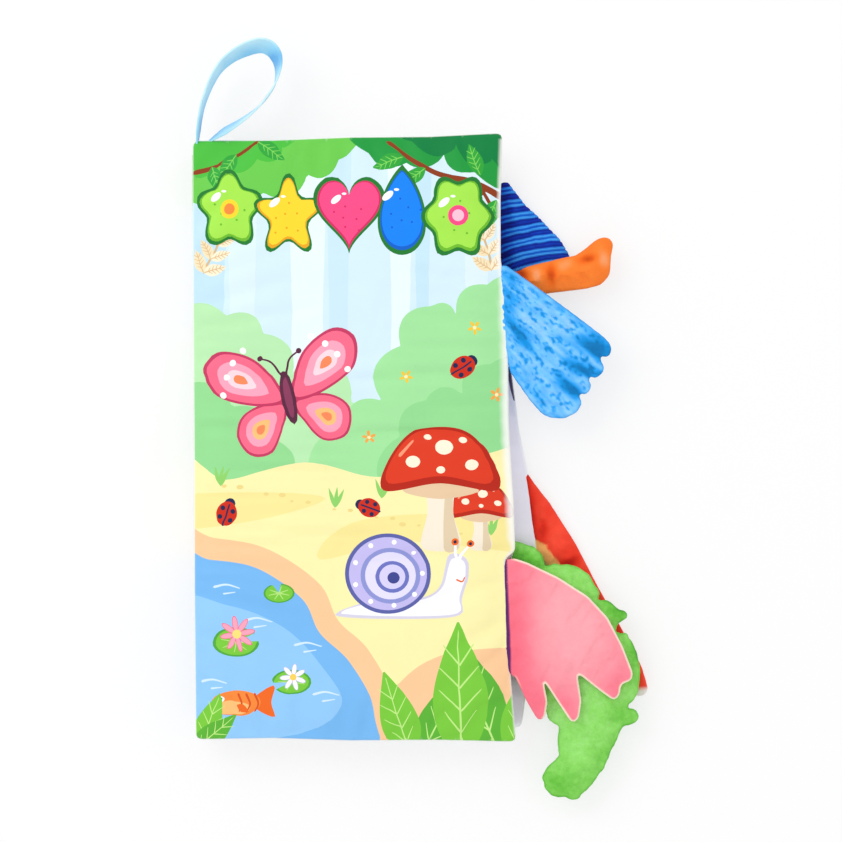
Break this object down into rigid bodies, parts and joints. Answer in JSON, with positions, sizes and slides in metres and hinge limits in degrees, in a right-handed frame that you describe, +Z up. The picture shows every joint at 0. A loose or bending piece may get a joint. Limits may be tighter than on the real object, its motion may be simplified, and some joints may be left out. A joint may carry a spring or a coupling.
{
  "type": "crinkle cloth book",
  "caption": "Soft cloth book with crinkle-filled leaves, stuffed tails along its fore-edge and a ribbon loop at the head of the spine.",
  "frame": {"origin": "under the middle of the closed book, in the flat underside of the back cover", "axes": "+X from the spine to the fore-edge, +Y up the page towards the ribbon loop, +Z up through the leaves to the front cover"},
  "size_m": [0.1632, 0.273, 0.0196],
  "materials": {
    "front_print": "printed satin cloth, picture in sky blue, leaf green, sand and pond blue",
    "back_print": "printed satin cloth, back of the book",
    "page_print": "printed satin cloth, pale lavender ground",
    "spine_print": "printed satin cloth",
    "wadding": "white polyester wadding",
    "crinkle_film": "thin crinkling film",
    "striped_plush": "ribbed navy and light blue plush",
    "red_plush": "smooth red plush with an orange edge",
    "orange_velour": "orange velour",
    "green_plush": "short green plush",
    "blue_velvet": "mottled light blue velvet",
    "pink_felt": "pink felt with a cream edge",
    "ribbon": "light blue satin ribbon"
  },
  "bodies": {
    "back_cover": {"back_cover_upper_cloth": "page_print", "back_cover_lower_cloth": "back_print", "back_cover_crinkle_film": "crinkle_film", "back_cover_wadding": "wadding", "spine_cloth_lower": "spine_print"},
    "inner_leaf": {"inner_leaf_upper_cloth": "page_print", "inner_leaf_lower_cloth": "page_print", "inner_leaf_crinkle_film": "crinkle_film", "inner_leaf_wadding": "wadding", "spine_cloth_upper": "spine_print", "orange_tail_upper_cloth": "orange_velour", "orange_tail_lower_cloth": "orange_velour", "orange_tail_stuffing": "wadding", "green_tail_upper_cloth": "green_plush", "green_tail_lower_cloth": "green_plush", "green_tail_stuffing": "wadding"},
    "front_cover": {"front_cover_upper_cloth": "front_print", "front_cover_lower_cloth": "page_print", "front_cover_crinkle_film": "crinkle_film", "front_cover_wadding": "wadding"},
    "striped_tail": {"striped_tail_upper_cloth": "striped_plush", "striped_tail_lower_cloth": "striped_plush", "striped_tail_stuffing": "wadding"},
    "red_tail": {"red_tail_upper_cloth": "red_plush", "red_tail_lower_cloth": "red_plush", "red_tail_stuffing": "wadding"},
    "fan_tail": {"fan_tail_upper_cloth": "blue_velvet", "fan_tail_lower_cloth": "blue_velvet", "fan_tail_crinkle_film": "crinkle_film"},
    "wing_tail": {"wing_tail_upper_cloth": "pink_felt", "wing_tail_lower_cloth": "pink_felt", "wing_tail_crinkle_film": "crinkle_film"},
    "ribbon_loop": {"ribbon_loop": "ribbon"}
  },
  "joints": [
    {"name": "leaf_turn", "type": "hinge", "parent": "back_cover", "child": "inner_leaf", "pos_m": [-0.0565, 0, 0.00595], "axis": [0, -1, 0], "range_deg": [0, 150], "deforming": ["spine_cloth_lower"]},
    {"name": "cover_turn", "type": "hinge", "parent": "inner_leaf", "child": "front_cover", "pos_m": [-0.0565, 0, 0.01205], "axis": [0, -1, 0], "range_deg": [0, 170], "deforming": ["spine_cloth_upper"]},
    {"name": "striped_tail_flap", "type": "hinge", "parent": "back_cover", "child": "striped_tail", "pos_m": [0.05494, 0.04885, 0.0019], "axis": [0.0283, -0.9996, 0], "range_deg": [-60, 0]},
    {"name": "red_tail_flap", "type": "hinge", "parent": "back_cover", "child": "red_tail", "pos_m": [0.06574, -0.03675, 0.0019], "axis": [0.1321, -0.9912, 0], "range_deg": [-60, 0]},
    {"name": "fan_tail_flap", "type": "hinge", "parent": "front_cover", "child": "fan_tail", "pos_m": [0.05415, 0.04105, 0.0161], "axis": [0.0061, -1, 0], "range_deg": [0, 110]},
    {"name": "wing_tail_flap", "type": "hinge", "parent": "front_cover", "child": "wing_tail", "pos_m": [0.05728, -0.07555, 0.0161], "axis": [0.0172, -0.9999, 0], "range_deg": [0, 110]},
    {"name": "loop_swing", "type": "hinge", "parent": "front_cover", "child": "ribbon_loop", "pos_m": [-0.0526, 0.10723, 0.0151], "axis": [0, 0, 1], "range_deg": [-10, 60]}
  ]
}
